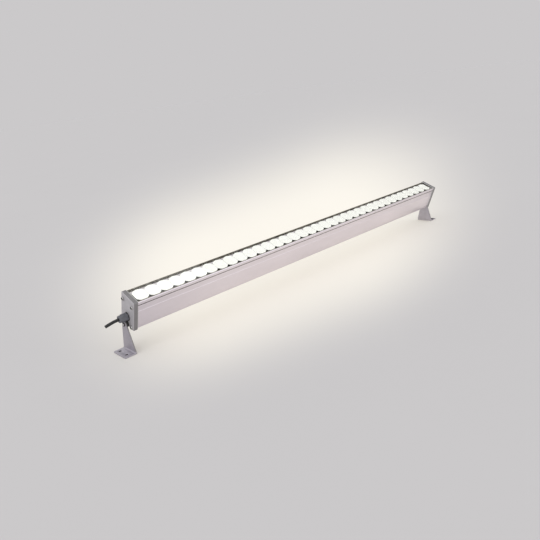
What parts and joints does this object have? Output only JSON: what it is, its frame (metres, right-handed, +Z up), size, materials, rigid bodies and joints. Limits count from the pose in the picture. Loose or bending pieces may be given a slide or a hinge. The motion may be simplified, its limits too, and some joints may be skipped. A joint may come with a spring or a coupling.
{
  "type": "outdoor wall washer light",
  "caption": "Slim linear LED wall washer with an anodised aluminium body, glazed top, cast end caps and two tilting steel brackets",
  "frame": {"origin": "centre of the four foot bolts, on the plane that the bracket feet stand on", "axes": "+X runs along the lamp, away from the end with the supply cable; +Z points up, away from the mounting plane; the lamp leans to -Y at rest"},
  "size_m": [1.0961, 0.0684, 0.1238],
  "materials": {
    "bracket_steel": "bent sheet steel with a satin grey finish",
    "body_aluminium": "satin anodised extrusion with fine lines along its length",
    "cast_cap": "die cast aluminium with a fine grey powder coat",
    "clear_glass": "clear toughened glass",
    "black_rubber": "matt black rubber",
    "grey_silicone": "pale grey silicone",
    "board_mask": "black solder mask on an aluminium core board",
    "led_package": "white LED packages with a pale yellow window",
    "clear_lens": "clear moulded acrylic, lit from below",
    "screw_steel": "bright stainless steel",
    "white_plug": "off-white nylon plug housing",
    "lead_sleeve": "red insulated core",
    "driver_case": "dark potted plastic case",
    "grey_pad": "soft grey heat pad",
    "gland_nylon": "dark grey glass-filled nylon",
    "cable_jacket": "matt black rubber jacket"
  },
  "bodies": {
    "left_mount": {"left_bracket": "bracket_steel"},
    "lamp": {"housing": "body_aluminium", "end_cap_left": "cast_cap", "end_cap_right": "cast_cap", "glass_cover": "clear_glass", "glass_seal": "black_rubber", "glass_tape": "black_rubber", "led_board_left": "board_mask", "led_board_right": "board_mask", "leds": "led_package", "lenses": "clear_lens", "board_link": "white_plug", "feed_connector": "white_plug", "board_lead": "lead_sleeve", "lead_grommet": "black_rubber", "driver": "driver_case", "driver_pad": "grey_pad", "inner_cable": "cable_jacket", "end_gasket_left": "grey_silicone", "end_gasket_right": "grey_silicone", "cap_screws": "screw_steel", "gland_washer": "black_rubber", "gland_body": "gland_nylon", "gland_seal": "black_rubber", "gland_nut": "gland_nylon", "supply_cable": "cable_jacket", "pivot_screws": "screw_steel", "friction_washers": "black_rubber"},
    "right_mount": {"right_bracket": "bracket_steel"}
  },
  "joints": [
    {"name": "lamp_tilt", "type": "hinge", "parent": "left_mount", "child": "lamp", "pos_m": [-0.51525, 0, 0.0575], "axis": [1, 0, 0], "range_deg": [-108, 62]},
    {"name": "right_bracket_pivot", "type": "hinge", "parent": "lamp", "child": "right_mount", "pos_m": [0.51525, 0, 0.0575], "axis": [1, 0, 0], "range_deg": [-62, 108]}
  ],
  "couplings": [
    {"joint": "right_bracket_pivot", "follows": "lamp_tilt", "ratio": -1}
  ]
}
